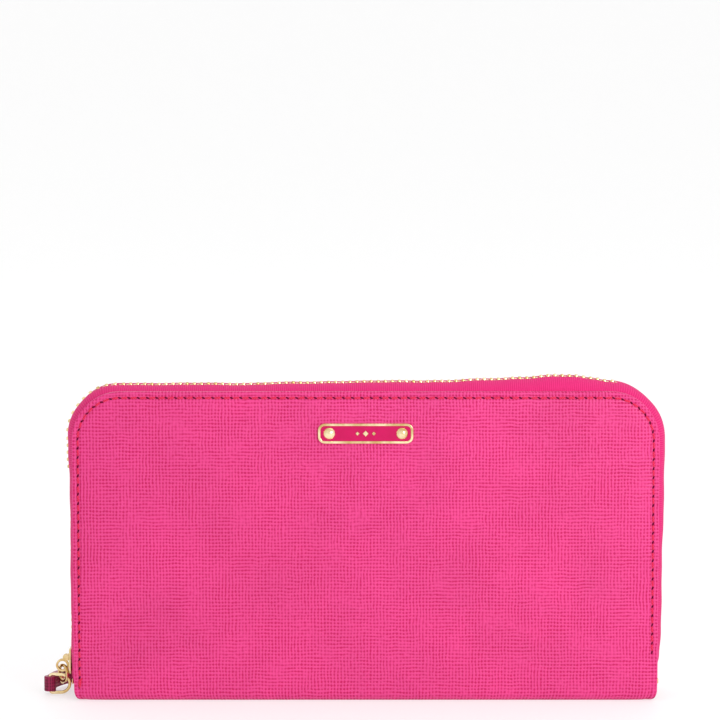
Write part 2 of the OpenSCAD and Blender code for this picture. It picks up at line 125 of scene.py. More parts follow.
paper_shader.inputs["Base Color"].default_value = (0.4, 0.4, 0.4, 1)
paper_shader.inputs["Roughness"].default_value = 0.6
paper_shader.inputs["Emission Color"].default_value = (1, 1, 1, 1)
paper_shader.inputs["Emission Strength"].default_value = 0.56
table.data.materials.append(paper)

# ---------------------------------------------------------------- hides
# Each cover is one hide of embossed cross-grain leather, folded under the spine to meet
# its twin. Its edge is turned in round a 1 mm core, sewn down 1.9 mm from the edge, and
# the panel inside the seam is padded with thin foam.

LEATHER_T = 0.9 * MM
FOLD_R = 3 * MM
CORNER_R = 15.5 * MM
SEAM_IN = 1.9 * MM
RIM_DEPTH = 2.8 * MM
FLAT_SPINE = 9 * MM
SPINE_NARROWS = 3 * MM
FOLD_STEPS = 8
CUT_GAP = 4 * MM


def srgb(red, green, blue):
    """A colour given in 0 to 255 as the linear numbers that a shader wants."""
    parts = []
    for part in (red, green, blue):
        part = part / 255
        parts.append(part / 12.92 if part < 0.04045 else ((part + 0.055) / 1.055) ** 2.4)
    return tuple(parts) + (1,)


def new_finish(name, colour, roughness, metallic=0.0, specular=0.5):
    """A new material and its node tree and shader, with the plain numbers set."""
    finish = bpy.data.materials.new(name)
    finish.use_nodes = True
    shader = finish.node_tree.nodes["Principled BSDF"]
    shader.inputs["Base Color"].default_value = colour
    shader.inputs["Roughness"].default_value = roughness
    shader.inputs["Metallic"].default_value = metallic
    shader.inputs["Specular IOR Level"].default_value = specular
    return finish, finish.node_tree, shader


def step(tree, kind, sockets, **settings):
    """Adds one node; a socket is given a number, a colour or another node's output."""
    made = tree.nodes.new("ShaderNode" + kind)
    for key, value in settings.items():
        setattr(made, key, value)
    for key, value in sockets.items():
        if isinstance(value, bpy.types.NodeSocket):
            tree.links.new(value, made.inputs[key])
        else:
            made.inputs[key].default_value = value
    return made


def two_tone(tree, mask, low_colour, high_colour):
    """A colour between two, by a mask from 0 to 1."""
    mix = tree.nodes.new("ShaderNodeMix")
    mix.data_type = "RGBA"
    tree.links.new(mask, mix.inputs["Factor"])
    low_socket, high_socket = [s for s in mix.inputs if s.type == "RGBA"]
    low_socket.default_value = low_colour
    high_socket.default_value = high_colour
    return [s for s in mix.outputs if s.type == "RGBA"][0]


def raise_by(tree, shader, height, strength, distance):
    """Bumps the shader's surface by a height."""
    bump = step(tree, "Bump", {"Height": height, "Strength": strength, "Distance": distance})
    tree.links.new(bump.outputs["Normal"], shader.inputs["Normal"])


def cross_grain(name, pit, ridge, pitch, depth, uv_map=None):
    """Embossed leather: rows of small dark pits between lighter, wandering ridges."""
    finish, tree, shader = new_finish(name, ridge, 0.45, specular=0.3)
    if uv_map:
        place = step(tree, "UVMap", {}, uv_map=uv_map).outputs["UV"]
    else:
        place = step(tree, "TexCoord", {}).outputs["Object"]
    drift = step(tree, "TexNoise", {"Vector": place, "Scale": 190, "Detail": 2})
    centred = step(
        tree, "VectorMath", {0: drift.outputs["Color"], 1: (0.5, 0.5, 0.5)}, operation="SUBTRACT"
    )
    small = step(tree, "VectorMath", {0: centred.outputs[0], "Scale": 0.0009}, operation="SCALE")
    moved = step(tree, "VectorMath", {0: place, 1: small.outputs[0]}, operation="ADD")
    parts = step(tree, "SeparateXYZ", {0: moved.outputs[0]})
    along = parts.outputs["X"]
    up = parts.outputs["Y"]
    if not uv_map:
        round_strap = step(tree, "Math", {0: along, 1: up}, operation="ADD")
        along = round_strap.outputs[0]
        up = parts.outputs["Z"]
    # two sets of ridges cross; each fades and grows over a few millimetres
    ridges = []
    for line, spacing, patch_scale in ((along, pitch, 95), (up, pitch * 1.07, 140)):
        phase = step(tree, "Math", {0: line, 1: 2 * math.pi / spacing}, operation="MULTIPLY")
        wave = step(tree, "Math", {0: phase.outputs[0]}, operation="COSINE")
        patchy = step(tree, "TexNoise", {"Vector": place, "Scale": patch_scale, "Detail": 2})
        weight = step(
            tree, "MapRange",
            {"Value": patchy.outputs["Fac"], "From Min": 0.3, "From Max": 0.7,
             "To Min": 0.25, "To Max": 1.3},
        )
        ridges.append(step(tree, "Math", {0: wave.outputs[0], 1: weight.outputs[0]}, operation="MULTIPLY"))
    crossed = step(tree, "Math", {0: ridges[0].outputs[0], 1: ridges[1].outputs[0]}, operation="ADD")
    rough = step(tree, "TexNoise", {"Vector": place, "Scale": 900, "Detail": 3})
    uneven = step(
        tree, "Math", {0: rough.outputs["Fac"], 1: 2.6, 2: crossed.outputs[0]}, operation="MULTIPLY_ADD"
    )
    ridge_mask = step(
        tree, "MapRange", {"Value": uneven.outputs[0], "From Min": -0.3, "From Max": 1.9},
        interpolation_type="SMOOTHSTEP",
    )
    pores = step(tree, "TexNoise", {"Vector": place, "Scale": 5200, "Detail": 3})
    height = step(
        tree, "Math", {0: pores.outputs["Fac"], 1: 0.22, 2: ridge_mask.outputs[0]}, operation="MULTIPLY_ADD"
    )
    colour = two_tone(tree, ridge_mask.outputs[0], pit, ridge)
    broad = step(tree, "TexNoise", {"Vector": place, "Scale": 38, "Detail": 3})
    shade = step(
        tree, "MapRange",
        {"Value": broad.outputs["Fac"], "From Min": 0.3, "From Max": 0.7,
         "To Min": 0.94, "To Max": 1.05},
    )
    worn = step(tree, "HueSaturation", {"Color": colour, "Value": shade.outputs[0]})
    tree.links.new(worn.outputs["Color"], shader.inputs["Base Color"])
    gloss = step(tree, "MapRange", {"Value": ridge_mask.outputs[0], "To Min": 0.62, "To Max": 0.4})
    tree.links.new(gloss.outputs[0], shader.inputs["Roughness"])
    raise_by(tree, shader, height.outputs[0], 0.75, depth)
    return finish


hide_leather = cross_grain(
    "hide_leather", srgb(188, 4, 84), srgb(218, 60, 130), 1.05 * MM, 0.15 * MM, uv_map="grain"
)


def only(obj):
    """Leaves obj as the only selected object, and the active one."""
    bpy.ops.object.select_all(action="DESELECT")
    obj.select_set(True)
    bpy.context.view_layer.objects.active = obj


def take(obj):
    """Opens obj alone in edit mode."""
    only(obj)
    bpy.ops.object.mode_set(mode="EDIT")


def pick(obj, kind, test):
    """In edit mode, selects the vertices, edges or faces whose middle passes the test."""
    bpy.ops.mesh.select_mode(type=kind)
    bpy.ops.mesh.select_all(action="DESELECT")
    mesh = bmesh.from_edit_mesh(obj.data)
    parts = {"VERT": mesh.verts, "EDGE": mesh.edges, "FACE": mesh.faces}[kind]
    for part in parts:
        if kind == "VERT":
            middle = part.co
        else:
            middle = sum((v.co for v in part.verts), Vector()) / len(part.verts)
        if test(middle):
            part.select = True
    mesh.select_flush_mode()
    bmesh.update_edit_mesh(obj.data)


def leave():
    """Back to object mode."""
    bpy.ops.object.mode_set(mode="OBJECT")


def finish_with(obj, name, kind, **settings):
    """Adds a modifier to obj and applies it."""
    only(obj)
    modifier = obj.modifiers.new(name, kind)
    for key, value in settings.items():
        setattr(modifier, key, value)
    bpy.ops.object.modifier_apply(modifier=name)


def smooth(obj, degrees):
    """Smooth shading, but for edges sharper than the angle."""
    only(obj)
    bpy.ops.object.shade_smooth_by_angle(angle=math.radians(degrees))


def settle(obj):
    """Puts obj's place, turn and scale into its mesh."""
    only(obj)
    bpy.ops.object.transform_apply(location=True, rotation=True, scale=True)


def outward(x, z):
    """The direction away from the cover's middle, in its plane: sideways, up or round a corner."""
    corner = Vector((math.copysign(SIDE_X - CORNER_R, x), TOP_Z - CORNER_R))
    off = Vector((x, z)) - corner
    past_side, past_top = abs(x) > abs(corner.x), z > corner.y
    if past_side and past_top and off.length > 0:
        return off.normalized()
    if past_top and (TOP_Z - z) < (SIDE_X - abs(x)):
        return Vector((0, 1))
    return Vector((math.copysign(1, x), 0))


def cut_rows(point, normal, count, gap):
    """In edit mode, cuts the mesh across with count parallel planes, one gap apart."""
    for i in range(count):
        bpy.ops.mesh.select_all(action="SELECT")
        place = Vector(point) + i * gap * Vector(normal)
        bpy.ops.mesh.bisect(plane_co=place, plane_no=normal)


def make_hide(name):
    """The front hide: cut flat, embossed with its seam channel, then folded at the spine."""
    fold_l = FOLD_R * math.pi / 2
    fold_top = FOLD_R
    flat_low = fold_top - fold_l - FLAT_SPINE
    spare = 12 * MM
    bpy.ops.object.select_all(action="DESELECT")
    bpy.ops.mesh.primitive_plane_add(
        size=1, location=(0, FACE_Y, (TOP_Z + flat_low - spare) / 2), rotation=(math.pi / 2, 0, 0)
    )
    hide = bpy.context.object
    hide.name = name
    hide.scale = (2 * SIDE_X, TOP_Z - flat_low + spare, 1)
    settle(hide)
    take(hide)
    pick(hide, "VERT", lambda p: p.z > TOP_Z - MM)
    bpy.ops.mesh.bevel(offset=CORNER_R, segments=20, affect="VERTICES")
    # margin, seam channel, and the padded panel rising inside it
    relief = [
        (0.35, 0.0), (1.1, -0.02), (0.3, -0.12), (0.3, 0.0), (0.45, 0.14),
        (0.8, 0.1), (1.2, 0.06), (2.2, 0.04), (3.5, 0.02),
    ]
    bpy.ops.mesh.select_mode(type="FACE")
    bpy.ops.mesh.select_all(action="SELECT")
    for width, rise in relief:
        bpy.ops.mesh.inset(thickness=width * MM, depth=rise * MM)
    cut_rows((-90 * MM, 0, 0), (1, 0, 0), 46, CUT_GAP)
    cut_rows((0, 0, fold_top + CUT_GAP), (0, 0, 1), 22, CUT_GAP)
    cut_rows((0, 0, flat_low + MM), (0, 0, 1), 8, MM)
    cut_rows((0, 0, fold_top - fold_l), (0, 0, 1), FOLD_STEPS + 1, fold_l / FOLD_STEPS)
    bpy.ops.mesh.select_all(action="SELECT")
    bpy.ops.mesh.bisect(plane_co=(0, 0, flat_low), plane_no=(0, 0, 1), clear_inner=True)
    # the turned edge
    bpy.ops.mesh.select_all(action="DESELECT")
    bpy.ops.mesh.select_mode(type="EDGE")
    mesh = bmesh.from_edit_mesh(hide.data)
    for edge in mesh.edges:
        edge.select = edge.is_boundary and any(v.co.z > flat_low + 0.1 * MM for v in edge.verts)
    bmesh.update_edit_mesh(hide.data)
    bpy.ops.mesh.extrude_edges_move(TRANSFORM_OT_translate={"value": (0, RIM_DEPTH, 0)})
    leave()
    finish_with(hide, "round_edge", "BEVEL", width=0.85 * MM, segments=5, angle_limit=math.radians(55))
    # the grain follows the hide: u across, v up, and on round the turned edge
    grain = hide.data.uv_layers.new(name="grain")
    for loop in hide.data.loops:
        p = hide.data.vertices[loop.vertex_index].co
        away = outward(p.x, p.z) * max(0, p.y - FACE_Y)
        grain.data[loop.index].uv = (p.x + away.x, p.z + away.y)
    # narrow the spine a little, then fold it under, row by row from the far end
    for v in hide.data.vertices:
        drop = min(1, max(0, 5 * MM - v.co.z) / (6.8 * MM))
        v.co.x *= 1 - SPINE_NARROWS / SIDE_X * (1 - math.sqrt(1 - drop * drop))
    lines = [fold_top - fold_l + i * fold_l / FOLD_STEPS for i in range(FOLD_STEPS)]
    half_step = fold_l / FOLD_STEPS / 2
    below = [[v.index for v in hide.data.vertices if v.co.z < z + half_step] for z in lines]
    take(hide)
    for z, indices in zip(lines, below):
        bpy.ops.mesh.select_mode(type="VERT")
        bpy.ops.mesh.select_all(action="DESELECT")
        mesh = bmesh.from_edit_mesh(hide.data)
        mesh.verts.ensure_lookup_table()
        for i in indices:
            mesh.verts[i].select = True
        bmesh.update_edit_mesh(hide.data)
        bpy.ops.transform.rotate(
            value=-math.pi / 2 / FOLD_STEPS,
            orient_axis="X",
            orient_type="GLOBAL",
            center_override=(0, FACE_Y, z + half_step),
        )
    leave()
    # the puffed fold is pressed flat where the wallet rests on it
    for v in hide.data.vertices:
        v.co.z = max(v.co.z, 0)
    return hide


def dress(obj, finish):
    """Gives obj its one material."""
    obj.data.materials.clear()
    obj.data.materials.append(finish)


def mirrored(obj, name):
    """The back half's copy of a front piece, with its faces pointing outwards again."""
    only(obj)
    bpy.ops.object.duplicate()
    twin = bpy.context.object
    twin.name = name
    twin.scale = (1, -1, 1)
    settle(twin)
    take(twin)
    bpy.ops.mesh.select_all(action="SELECT")
    bpy.ops.mesh.flip_normals()
    leave()
    return twin


front_hide = make_hide("front_hide")
finish_with(front_hide, "thickness", "SOLIDIFY", thickness=LEATHER_T, offset=-1)
smooth(front_hide, 50)
back_hide = mirrored(front_hide, "back_hide")
for hide, cover, side in ((front_hide, "front_cover", -1), (back_hide, "back_cover", 1)):
    dress(hide, hide_leather)
    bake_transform(hide)
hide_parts("front_leather", "spine_leather")
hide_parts("back_leather")

# ---------------------------------------------------------------- seams
# A lockstitch in waxed crimson thread runs up one side, over the top and down the other.
# Each stitch dives into a slanted needle hole, whose shade is painted on a flat dark plug, and the last
# ones are sewn over each other.

STITCH_PITCH = 2.96 * MM
STITCH_L = 2.35 * MM
THREAD_R = 0.34 * MM
STITCHES = 117
SEAM_LOW = 4.6 * MM
CHANNEL_Y = FACE_Y + 0.1 * MM


def outline(s, half_w, top, r, low):
    """x, z and the outward angle at s along a line up the left, over the top, down the right."""
    side = top - r - low
    arc = r * math.pi / 2
    flat = 2 * (half_w - r)
    if s < side:
        return -half_w, low + s, math.pi
    s -= side
    if s < arc:
        angle = math.pi - s / r
        return -half_w + r + r * math.cos(angle), top - r + r * math.sin(angle), angle
    s -= arc
    if s < flat:
        return -half_w + r + s, top, math.pi / 2
    s -= flat
    if s < arc:
        angle = math.pi / 2 - s / r
        return half_w - r + r * math.cos(angle), top - r + r * math.sin(angle), angle
    s -= arc
    return half_w, top - r - s, 0.0


def lay(model, places, name):
    """Copies a modelled shape to each place and joins the copies into one piece."""
    copies = []
    for place in places:
        copy = bpy.data.objects.new(name, model.data.copy())
        copy.data.transform(place)
        bpy.context.collection.objects.link(copy)
        copies.append(copy)
    bpy.ops.object.select_all(action="DESELECT")
    for copy in copies:
        copy.select_set(True)
    bpy.context.view_layer.objects.active = copies[0]
    bpy.ops.object.join()
    copies[0].name = name
    return copies[0]


def discard(obj):
    """Removes a model that was only there to be copied."""
    bpy.data.objects.remove(obj)


def make_stitch():
    """One stitch along X, a little plump in the middle, with both ends pulled down."""
    bpy.ops.object.select_all(action="DESELECT")
    bpy.ops.mesh.primitive_cylinder_add(
        vertices=8, radius=THREAD_R, depth=STITCH_L, location=(0, 0, 0), rotation=(0, math.pi / 2, 0)
    )
    stitch = bpy.context.object
    settle(stitch)
    take(stitch)
    bpy.ops.mesh.select_all(action="SELECT")
    for x in (-0.3, 0.3):
        bpy.ops.mesh.select_all(action="SELECT")
        bpy.ops.mesh.bisect(plane_co=(x * STITCH_L, 0, 0), plane_no=(1, 0, 0))
    leave()
    for v in stitch.data.vertices:
        end = abs(v.co.x) / (STITCH_L / 2)
        if end > 0.9:
            v.co.y = v.co.y * 0.55 + 0.26 * MM
            v.co.z *= 0.55
        elif end < 0.7:
            v.co.y -= 0.05 * MM
    smooth(stitch, 60)
    return stitch


def make_hole_shade_plug():
    """One slanted needle hole's shade, painted on a flat dark oval plug that the thread dives into."""
    bpy.ops.object.select_all(action="DESELECT")
    bpy.ops.mesh.primitive_cylinder_add(
        vertices=8, radius=0.42 * MM, depth=0.5 * MM, location=(0, 0, 0), rotation=(math.pi / 2, 0, 0)
    )
    hole = bpy.context.object
    settle(hole)
    hole.scale = (1.4, 1, 0.6)
    hole.rotation_euler = (0, math.radians(24), 0)
    settle(hole)
    finish_with(hole, "soft_rim", "BEVEL", width=0.05 * MM, segments=1)
    return hole


def seam_places(count, start, shift, tilt, y):
    """Where each stitch of a cover's seam lies, turned to follow the edge."""
    half_w = SIDE_X - SEAM_IN
    top = TOP_Z - SEAM_IN
    r = CORNER_R - SEAM_IN
    places = []
    for i in range(count):
        x, z, angle = outline((i + shift) * STITCH_PITCH, half_w, top, r, start)
        turn = Matrix.Rotation(math.pi / 2 - angle + tilt, 4, "Y")
        places.append(Matrix.Translation((x, y, z)) @ turn)
    return places


thread, tree, shader = new_finish("crimson_thread", srgb(212, 10, 72), 0.6, specular=0.25)
shader.inputs["Sheen Weight"].default_value = 0.25
place = step(tree, "TexCoord", {}).outputs["Object"]
twist = step(
    tree, "TexWave", {"Vector": place, "Scale": 900, "Distortion": 1.5, "Detail": 1},
    bands_direction="DIAGONAL",
)
raise_by(tree, shader, twist.outputs["Fac"], 0.5, 0.06 * MM)
thread_colour = two_tone(tree, twist.outputs["Fac"], srgb(196, 4, 60), srgb(226, 18, 84))
tree.links.new(thread_colour, shader.inputs["Base Color"])

# painted shade: a dark material on the flat plugs stands for the shade inside the needle holes
hole_shade_finish, tree, shader = new_finish("needle_hole_shade", srgb(96, 2, 38), 0.85, specular=0.1)
place = step(tree, "TexCoord", {}).outputs["Object"]
fray = step(tree, "TexNoise", {"Vector": place, "Scale": 4000, "Detail": 2})
raise_by(tree, shader, fray.outputs["Fac"], 0.4, 0.05 * MM)

stitch = make_stitch()
needle_hole_shade = make_hole_shade_plug()
stitch_places = seam_places(STITCHES, SEAM_LOW, 0.5, math.radians(-5), CHANNEL_Y)
for i in range(2):
    spot = (-SIDE_X + SEAM_IN + 0.15 * MM, CHANNEL_Y - 0.2 * MM, (5.4 + i) * MM)
    turn = Matrix.Rotation(math.radians(-80 + 20 * i), 4, "Y")
    stitch_places.append(Matrix.Translation(spot) @ turn)
hole_places = seam_places(STITCHES + 1, SEAM_LOW, 0, 0, CHANNEL_Y + 0.04 * MM)
front_stitches = lay(stitch, stitch_places, "front_stitches")
front_hole_shades = lay(needle_hole_shade, hole_places, "front_hole_shades")
back_stitches = mirrored(front_stitches, "back_stitches")
back_hole_shades = mirrored(front_hole_shades, "back_hole_shades")
for piece, finish, cover in (
    (front_stitches, thread, "front_cover"),
    (front_hole_shades, hole_shade_finish, "front_cover"),
    (back_stitches, thread, "back_cover"),
    (back_hole_shades, hole_shade_finish, "back_cover"),
):
    dress(piece, finish)
    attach(piece, cover)
discard(needle_hole_shade)

# ---------------------------------------------------------------- zipper tapes
# A woven tape is sewn inside each cover's edge, bulges out past it and meets its twin in
# the middle. It rides up into a hump before the right corner, where it is tightest.

ZIP_HALF_W = SIDE_X - 1.5 * MM
ZIP_TOP = TOP_Z - 1.5 * MM
ZIP_R = 14 * MM
ZIP_LOW = 2.4 * MM
ZIP_L = 2 * (ZIP_TOP - ZIP_R - ZIP_LOW) + ZIP_R * math.pi + 2 * (ZIP_HALF_W - ZIP_R)
TAPE_Y = -9.05 * MM
TAPE_EDGE_Y = -1.5 * MM
TAPE_W = 14 * MM


# how far the tape stands out past the zipper's line, by the distance along it, in mm
CREST = [
    (0, 1.2), (5, 2.4), (13, 2.65), (69, 2.7), (77, 3.2), (84, 3.4), (95, 3.1), (104, 2.6),
    (142, 2.6), (157, 2.9), (177, 3.3), (207, 3.5), (222, 4.1), (232, 4.6), (242, 5.3), (248, 5.2),
    (254, 4.4), (260, 3.6), (270, 3.4), (284, 3.8), (300, 3.6), (320, 3.2), (345, 3.0), (352, 2.6),
    (358, 1.3), (364, 0.9),
]


def crest(s):
    """The tape's height past the zipper's line at s along it, eased from point to point."""
    s_mm = s / MM
    wander = 0.08 * math.sin(s_mm * 0.21) + 0.05 * math.sin(s_mm * 0.53)
    for (s0, r0), (s1, r1) in zip(CREST, CREST[1:]):
        if s_mm <= s1:
            t = max(0, (s_mm - s0) / (s1 - s0))
            return (r0 + (r1 - r0) * t * t * (3 - 2 * t) + wander) * MM
    return CREST[-1][1] * MM


def tape_point(s, across):
    """A point of the front tape, s along it and from 0 at its sewn edge to 1 at the teeth."""
    x, z, angle = outline(s, ZIP_HALF_W, ZIP_TOP, ZIP_R, ZIP_LOW)
    top_r = crest(s)
    if across < 0.2:
        r = -3 * MM + 3 * MM * across / 0.2
        y = TAPE_Y
    else:
        turn = (across - 0.2) / 0.8 * math.pi / 2
        r = top_r * math.sin(turn) ** 1.15
        y = TAPE_Y + (TAPE_EDGE_Y - TAPE_Y) * (1 - math.cos(turn))
        r -= 0.5 * MM * max(0, (across - 0.88) / 0.12) ** 2
    return Vector((x + r * math.cos(angle), y, z + r * math.sin(angle)))


def make_tape(name):
    """A flat woven strip, laid along the zipper's line and curved across."""
    rows, columns = 420, 16
    bpy.ops.object.select_all(action="DESELECT")
    bpy.ops.mesh.primitive_grid_add(x_subdivisions=rows, y_subdivisions=columns, size=1)
    tape = bpy.context.object
    tape.name = name
    weave = tape.data.uv_layers.new(name="weave")
    for loop in tape.data.loops:
        p = tape.data.vertices[loop.vertex_index].co
        weave.data[loop.index].uv = ((p.x + 0.5) * ZIP_L, (p.y + 0.5) * TAPE_W)
    for v in tape.data.vertices:
        v.co = tape_point((v.co.x + 0.5) * ZIP_L * 0.99999, v.co.y + 0.5)
    take(tape)
    bpy.ops.mesh.select_all(action="SELECT")
    bpy.ops.mesh.flip_normals()
    leave()
    return tape


tape_weave, tree, shader = new_finish("tape_weave", srgb(214, 44, 116), 0.7, specular=0.3)
place = step(tree, "UVMap", {}, uv_map="weave").outputs["UV"]
warp_yarn = step(tree, "TexWave", {"Vector": place, "Scale": 620, "Distortion": 0.4}, bands_direction="Y")
weft_yarn = step(tree, "TexWave", {"Vector": place, "Scale": 480, "Distortion": 0.6}, bands_direction="X")
yarns = step(tree, "Math", {0: warp_yarn.outputs["Fac"], 1: weft_yarn.outputs["Fac"]}, operation="MULTIPLY")
raise_by(tree, shader, yarns.outputs[0], 0.8, 0.12 * MM)
tape_colour = two_tone(tree, yarns.outputs[0], srgb(206, 16, 100), srgb(240, 52, 140))
tree.links.new(tape_colour, shader.inputs["Base Color"])

front_tape = make_tape("front_tape")
finish_with(front_tape, "thickness", "SOLIDIFY", thickness=0.45 * MM, offset=-1)
smooth(front_tape, 60)
back_tape = mirrored(front_tape, "back_tape")
for tape, cover, nodes in (
    (front_tape, "front_cover", ("front_zip_tape", "zip_end_left")),
    (back_tape, "back_cover", ("back_zip_tape", "zip_end_right")),
):
    dress(tape, tape_weave)
    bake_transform(tape)
    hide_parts(*nodes)

# ---------------------------------------------------------------- teeth and stops
# Brass teeth are clamped over each tape's edge, half a pitch apart, so that they lock in
# the middle. Two stops end them below the slider, and a box stop at the other end.

TOOTH_PITCH = 2.27 * MM
TEETH_LOW_LEFT = 9.8 * MM
TEETH_LOW_RIGHT = 5.2 * MM
SLIDER_RUN = 70 * MM
SLIDER_ROOM = 2.95 * MM
HUMP_END = 262 * MM


def make_tooth():
    """One front tooth: X along the zipper, Z outwards, legs on the tape, head past the middle."""
    bpy.ops.object.select_all(action="DESELECT")
    bpy.ops.mesh.primitive_cube_add(size=1, location=(0, -0.85 * MM, -0.55 * MM))
    tooth = bpy.context.object
    tooth.scale = (1.0 * MM, 3.1 * MM, 1.5 * MM)
    settle(tooth)
    take(tooth)
    bpy.ops.mesh.select_all(action="SELECT")
    bpy.ops.mesh.bisect(plane_co=(0, -0.9 * MM, 0), plane_no=(0, 1, 0))
    pick(tooth, "FACE", lambda p: p.y > 0.6 * MM)
    bpy.ops.mesh.inset(thickness=0.2 * MM, depth=0.15 * MM)
    pick(tooth, "VERT", lambda p: p.y > -0.5 * MM and p.z > 0)
    bpy.ops.transform.translate(value=(0, 0, -0.45 * MM))
    leave()
    finish_with(tooth, "round_edge", "BEVEL", width=0.16 * MM, segments=1, angle_limit=math.radians(50))
    smooth(tooth, 50)
    return tooth


def tooth_places(shift, rise):
    """Teeth along the zipper, standing up by rise, from above the slider to the box stop."""
    places = []
    s = TEETH_LOW_LEFT - ZIP_LOW + shift
    while s < ZIP_L - (TEETH_LOW_RIGHT - ZIP_LOW):
        x, z, angle = outline(s, ZIP_HALF_W, ZIP_TOP, ZIP_R, ZIP_LOW)
        r = crest(s) + (rise if s < HUMP_END else -0.4 * MM)
        if s < SLIDER_RUN:
            r = min(r, SLIDER_ROOM)
        turn = Matrix.Rotation(math.pi / 2 - angle, 4, "Y")
        spot = Vector((x + r * math.cos(angle), 0, z + r * math.sin(angle)))
        places.append(Matrix.Translation(spot) @ turn)
        s += TOOTH_PITCH
    return places


def metal(name, dark, light, roughness):
    """Plated metal: a faint cloud of tone, fine rubbing marks and a soft polish."""
    finish, tree, shader = new_finish(name, light, roughness, metallic=1.0)
    place = step(tree, "TexCoord", {}).outputs["Object"]
    cloud = step(tree, "TexNoise", {"Vector": place, "Scale": 260, "Detail": 2})
    tone = step(tree, "MapRange", {"Value": cloud.outputs["Fac"], "From Min": 0.35, "From Max": 0.65})
    tree.links.new(two_tone(tree, tone.outputs[0], dark, light), shader.inputs["Base Color"])
    stretched = step(tree, "Mapping", {"Vector": place, "Scale": (1, 1, 7)})
    rubbed = step(tree, "TexNoise", {"Vector": stretched.outputs[0], "Scale": 900, "Detail": 4})
    gloss = step(
        tree, "MapRange",
        {"Value": rubbed.outputs["Fac"], "From Min": 0.3, "From Max": 0.7,
         "To Min": roughness * 0.75, "To Max": roughness * 1.35},
    )
    tree.links.new(gloss.outputs[0], shader.inputs["Roughness"])
    raise_by(tree, shader, rubbed.outputs["Fac"], 0.12, 0.02 * MM)
    return finish


brass = metal("brass", srgb(208, 170, 108), srgb(248, 226, 176), 0.2)
tooth = make_tooth()
front_teeth = lay(tooth, tooth_places(TOOTH_PITCH / 2, 0.75 * MM), "front_teeth")
back_start = lay(tooth, tooth_places(0, 0), "back_start")
back_teeth = mirrored(back_start, "back_teeth")
discard(back_start)
discard(tooth)
for teeth, cover, nodes in (
    (front_teeth, "front_cover", ("front_zip_teeth", "zip_end_teeth")),
    (back_teeth, "back_cover", ("back_zip_teeth",)),
):
    dress(teeth, brass)
    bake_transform(teeth)
    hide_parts(*nodes)


def from_node(node, name, body, finish, rounding, segments=2, degrees=35):
    """A rounded, smooth copy of a CAD node that takes its place."""
    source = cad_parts[node]
    bpy.ops.object.select_all(action="DESELECT")
    piece = bpy.data.objects.new(name, source.data.copy())
    bpy.context.collection.objects.link(piece)
    take(piece)
    bpy.ops.mesh.select_all(action="SELECT")
    bpy.ops.mesh.remove_doubles(threshold=0.002 * MM)
    bpy.ops.mesh.dissolve_limited(angle_limit=math.radians(1.5))
    leave()
    if rounding:
        finish_with(
            piece, "round_edge", "BEVEL", width=rounding * MM, segments=segments,
            angle_limit=math.radians(degrees), use_clamp_overlap=True,
        )
    smooth(piece, 35)
    dress(piece, finish)
    if body:
        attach(piece, body)
    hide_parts(node)
    return piece


from_node("top_stops", "zipper_top_stops", "wallet_core", brass, 0.15)
from_node("bottom_stop", "zipper_box_stop", "wallet_core", brass, 0.25)

# ---------------------------------------------------------------- name plate
# A cast frame with a raised rim holds a dish of magenta enamel with three small lozenges.
# Two studs pass through frame, leather and foam, and are clinched over washers.

pale_gold = metal("pale_gold", srgb(212, 178, 118), srgb(250, 232, 188), 0.15)
enamel, tree, shader = new_finish("magenta_enamel", srgb(178, 0, 72), 0.4, specular=0.2)
shader.inputs["Coat Weight"].default_value = 0.06
shader.inputs["Coat Roughness"].default_value = 0.06
place = step(tree, "TexCoord", {}).outputs["Object"]
pool = step(tree, "TexNoise", {"Vector": place, "Scale": 240, "Detail": 2})
enamel_colour = two_tone(tree, pool.outputs["Fac"], srgb(178, 0, 74), srgb(200, 2, 90))
tree.links.new(enamel_colour, shader.inputs["Base Color"])
ripple = step(tree, "TexNoise", {"Vector": place, "Scale": 700, "Detail": 1})
raise_by(tree, shader, ripple.outputs["Fac"], 0.1, 0.05 * MM)

from_node("plaque_frame", "plate_frame", "front_cover", pale_gold, 0.22, 3)
from_node("plaque_enamel", "plate_enamel", "front_cover", enamel, 0.0)
from_node("plaque_ornament", "plate_lozenges", "front_cover", pale_gold, 0.05, 1)
from_node("plaque_studs", "plate_studs", "front_cover", pale_gold, 0.0)
from_node("plaque_washers", "plate_washers", "front_cover", brass, 0.1)

# ---------------------------------------------------------------- slider and chain
# The slider runs on the teeth with one plate inside and one outside. Its bridge holds a
# drop-shaped link, in which a flat ring and then the strap's D-shaped ring hang.

from_node("slider_body", "zipper_slider", "zip_slider", pale_gold, 0.3, 3)
from_node("slider_bridge", "zipper_bridge", "zip_slider", pale_gold, 0.18, 2)
from_node("pull_link", "chain_link", "pull", pale_gold, 0.3, 3)
from_node("oval_ring", "chain_round_ring", "chain_ring", pale_gold, 0.28, 3)
from_node("strap_ring", "chain_d_ring", "strap_carrier", pale_gold, 0.3, 3)

# ---------------------------------------------------------------- wrist strap
# A narrow doubled strap of the same leather, coloured darker as painted shade for the shade it lies in. It
# folds round the D ring's bar, is held by a stud, and opens into the hand's loop, lying behind the wallet.

# painted shade: the strap's pit and ridge colours are darker than the hide's to stand in for shade
strap_leather = cross_grain("strap_leather", srgb(100, 2, 42), srgb(146, 20, 70), MM, 0.12 * MM)
edge_paint, tree, shader = new_finish("edge_paint", srgb(150, 10, 70), 0.35)
place = step(tree, "TexCoord", {}).outputs["Object"]
brushed = step(tree, "TexNoise", {"Vector": place, "Scale": 900, "Detail": 3})
raise_by(tree, shader, brushed.outputs["Fac"], 0.4, 0.06 * MM)
paint_colour = two_tone(tree, brushed.outputs["Fac"], srgb(130, 4, 56), srgb(176, 22, 88))
tree.links.new(paint_colour, shader.inputs["Base Color"])

wrist_strap = from_node("wrist_strap", "hand_strap", "strap", strap_leather, 0.3, 3)
